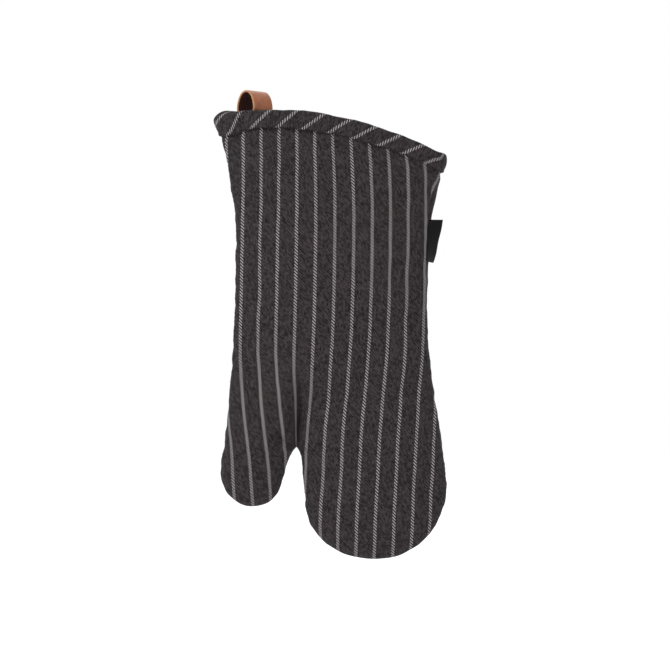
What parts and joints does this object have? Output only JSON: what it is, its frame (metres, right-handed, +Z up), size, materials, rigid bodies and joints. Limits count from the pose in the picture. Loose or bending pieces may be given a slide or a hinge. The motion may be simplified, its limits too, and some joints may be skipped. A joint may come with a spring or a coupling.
{
  "type": "oven mitt",
  "caption": "Padded pinstripe oven mitt with a thumb, bound cuff, leather hanging loop and side label; its fingers and thumb fold.",
  "frame": {"origin": "the middle of the hanging loop's hole, where a hook carries the mitt", "axes": "+Z up towards the hook with the fingers hanging down, +X across the cuff towards the finger side, -Y towards the front panel"},
  "size_m": [0.1703, 0.0411, 0.3472],
  "materials": {
    "striped_twill": "matte woven twill with pale pinstripes",
    "wadding": "soft needled felt",
    "lining": "plain weave",
    "bias_binding": "matte twill cut on the bias",
    "thread": "twisted polyester sewing thread",
    "loop_leather": "smooth vegetable-tanned leather",
    "label_satin": "woven satin"
  },
  "bodies": {
    "sleeve": {"outer_front_palm": "striped_twill", "outer_back_palm": "striped_twill", "wadding_front_palm": "wadding", "wadding_back_palm": "wadding", "lining_front_palm": "lining", "lining_back_palm": "lining", "cuff_binding": "bias_binding", "binding_stitches": "thread", "loop_ends": "loop_leather", "loop_stitches": "thread"},
    "fingers": {"outer_front_fingers": "striped_twill", "outer_back_fingers": "striped_twill", "wadding_front_fingers": "wadding", "wadding_back_fingers": "wadding", "lining_front_fingers": "lining", "lining_back_fingers": "lining"},
    "thumb": {"outer_front_thumb": "striped_twill", "outer_back_thumb": "striped_twill", "wadding_front_thumb": "wadding", "wadding_back_thumb": "wadding", "lining_front_thumb": "lining", "lining_back_thumb": "lining"},
    "loop": {"hanging_loop": "loop_leather"},
    "label": {"side_label": "label_satin"}
  },
  "joints": [
    {"name": "finger_fold", "type": "hinge", "parent": "sleeve", "child": "fingers", "pos_m": [0.0888, -0.00598, -0.2755], "axis": [1, 0, 0], "range_deg": [-60, 60], "stiffness_Nm_per_rad": 0.06},
    {"name": "thumb_fold", "type": "hinge", "parent": "sleeve", "child": "thumb", "pos_m": [-0.001, -0.00598, -0.273], "axis": [1, 0, 0], "range_deg": [-55, 55], "stiffness_Nm_per_rad": 0.03},
    {"name": "loop_bend", "type": "hinge", "parent": "sleeve", "child": "loop", "pos_m": [0, 0, -0.01014], "axis": [0.9837, 0.1796, 0], "range_deg": [-15, 22], "stiffness_Nm_per_rad": 0.02},
    {"name": "label_flap", "type": "hinge", "parent": "sleeve", "child": "label", "pos_m": [0.12845, -0.01098, -0.103], "axis": [0.072, 0, 0.9974], "range_deg": [-75, 10], "stiffness_Nm_per_rad": 0.002}
  ]
}
